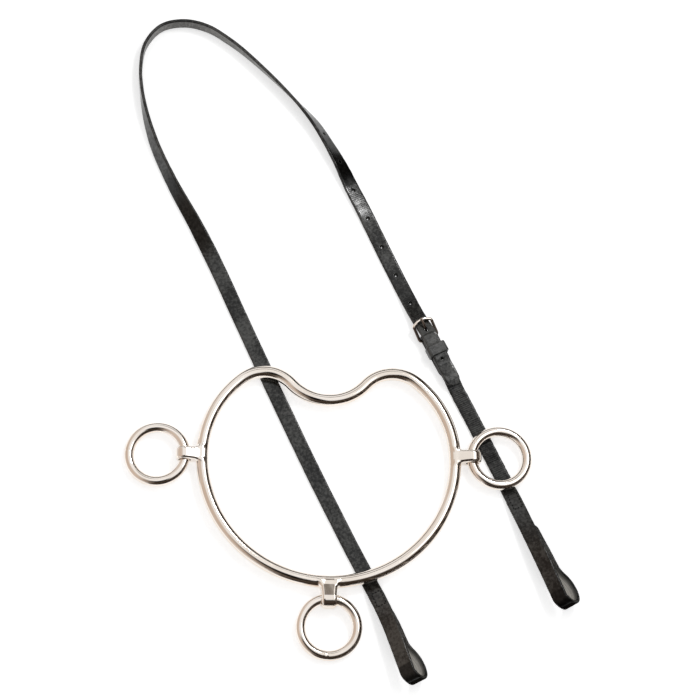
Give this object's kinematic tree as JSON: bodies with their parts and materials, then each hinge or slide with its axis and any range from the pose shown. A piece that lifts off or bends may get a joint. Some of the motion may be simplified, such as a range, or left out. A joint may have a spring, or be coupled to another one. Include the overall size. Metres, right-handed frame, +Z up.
{
  "type": "anti-rearing bit",
  "caption": "Heart-shaped ring bit with loose rings in cast eyes, lying on its narrow leather headstrap with buckle and keeper.",
  "frame": {"origin": "middle of the bounding box, on the surface that the object lies on", "axes": "+Z up from the surface; +Y from the loose ring at the bottom of the mouth ring towards its dip, and on to the headstrap's bend; +X towards the buckle's side"},
  "size_m": [0.2624, 0.4114, 0.0169],
  "materials": {
    "steel": "polished nickel-plated steel",
    "leather": "smooth black bridle leather",
    "patch_leather": "black leather, flesh side"
  },
  "bodies": {
    "headstrap": {"point_strap": "leather", "buckle_strap": "leather", "strap_keeper": "leather", "left_stud_patch": "patch_leather", "right_stud_patch": "patch_leather", "left_hook_stud": "steel", "right_hook_stud": "steel"},
    "bit": {"bit_mouth_ring": "steel"},
    "left_loose_ring": {"left_ring": "steel"},
    "right_loose_ring": {"right_ring": "steel"},
    "bottom_loose_ring": {"bottom_ring": "steel"},
    "frame": {"buckle_frame": "steel"},
    "tongue": {"buckle_tongue": "steel"}
  },
  "joints": [
    {"name": "bit_lift", "type": "slide", "parent": "headstrap", "child": "bit", "axis": [0, 0, 1], "range_m": [0, 0.08]},
    {"name": "left_ring_swing", "type": "hinge", "parent": "bit", "child": "left_loose_ring", "pos_m": [-0.09614, -0.0711, 0.00602], "axis": [0, 1, 0], "range_deg": [-124, 134]},
    {"name": "right_ring_swing", "type": "hinge", "parent": "bit", "child": "right_loose_ring", "pos_m": [0.07123, -0.0705, 0.00602], "axis": [0, -1, 0], "range_deg": [0, 130]},
    {"name": "bottom_ring_swing", "type": "hinge", "parent": "bit", "child": "bottom_loose_ring", "pos_m": [-0.01286, -0.15608, 0.00602], "axis": [-1, 0, 0], "range_deg": [-124, 134]},
    {"name": "frame_turn", "type": "hinge", "parent": "headstrap", "child": "frame", "pos_m": [0.04734, 0.0039, 0.00315], "axis": [0.891, 0.454, 0], "range_deg": [0, 2]},
    {"name": "tongue_turn", "type": "hinge", "parent": "frame", "child": "tongue", "pos_m": [0.04734, 0.0039, 0.00315], "axis": [0.891, 0.454, 0], "range_deg": [0, 2.5]}
  ]
}
